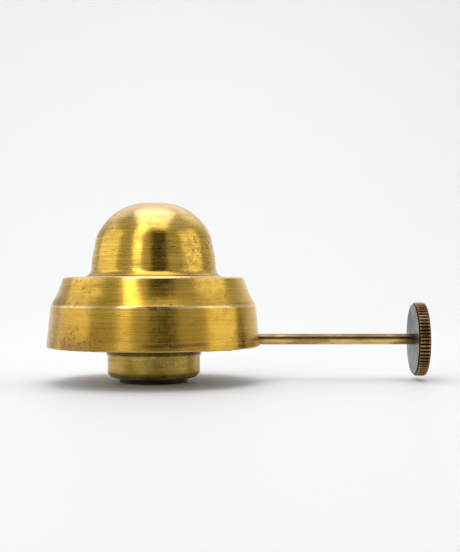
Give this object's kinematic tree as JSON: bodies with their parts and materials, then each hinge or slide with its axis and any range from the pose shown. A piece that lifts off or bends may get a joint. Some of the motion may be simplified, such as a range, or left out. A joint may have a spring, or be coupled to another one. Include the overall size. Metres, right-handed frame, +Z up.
{
  "type": "spirit burner head",
  "caption": "Flat-wick spirit burner head: slotted brass hood over a perforated draught basket, wick tube and neck cup, with a side spindle and knurled knob that raise the wick.",
  "frame": {"origin": "burner axis at the underside of the neck gasket, the plane the burner stands on", "axes": "+Z up along the burner axis, +X along the wick spindle towards the knob"},
  "size_m": [0.1043, 0.0582, 0.049],
  "materials": {
    "hood_brass": "lathe-brushed, lightly patinated",
    "cup_brass": "dull, oxidised",
    "inner_brass": "satin",
    "spring_brass": "satin",
    "spindle_brass": "drawn, satin",
    "knob_bronze": "dark patina, turned face",
    "gasket_rubber": "glossy black",
    "wick_cotton": "woven cotton",
    "packing_fibre": "waxed packing",
    "wheel_steel": "stamped"
  },
  "bodies": {
    "burner": {"draught_basket": "inner_brass", "hood_clip_1": "spring_brass", "hood_clip_2": "spring_brass", "hood_clip_3": "spring_brass", "clip_rivets": "spring_brass", "wick_tube": "inner_brass", "neck_cup": "cup_brass", "cup_lid": "inner_brass", "vent_tube": "inner_brass", "neck_sleeve": "inner_brass", "neck_gasket": "gasket_rubber", "end_bearing": "cup_brass", "gland_body": "cup_brass", "gland_packing": "packing_fibre", "gland_nut": "cup_brass"},
    "hood": {"flame_hood": "hood_brass"},
    "spindle": {"spindle": "spindle_brass", "spur_wheel_left": "wheel_steel", "spur_wheel_right": "wheel_steel", "thrust_collar": "spindle_brass", "knob": "knob_bronze"},
    "wick": {"wick": "wick_cotton"}
  },
  "joints": [
    {"name": "spindle_turn", "type": "hinge", "parent": "burner", "child": "spindle", "pos_m": [0, 0.0044, 0.0114], "axis": [-1, 0, 0], "range_deg": [-90, 110]},
    {"name": "wick_lift", "type": "slide", "parent": "burner", "child": "wick", "axis": [0, 0, 1], "range_m": [-0.005, 0.006]},
    {"name": "hood_lift", "type": "slide", "parent": "burner", "child": "hood", "axis": [0, 0, 1], "range_m": [0, 0.045]}
  ],
  "couplings": [
    {"joint": "wick_lift", "follows": "spindle_turn", "m_per_rad": 0.003}
  ]
}
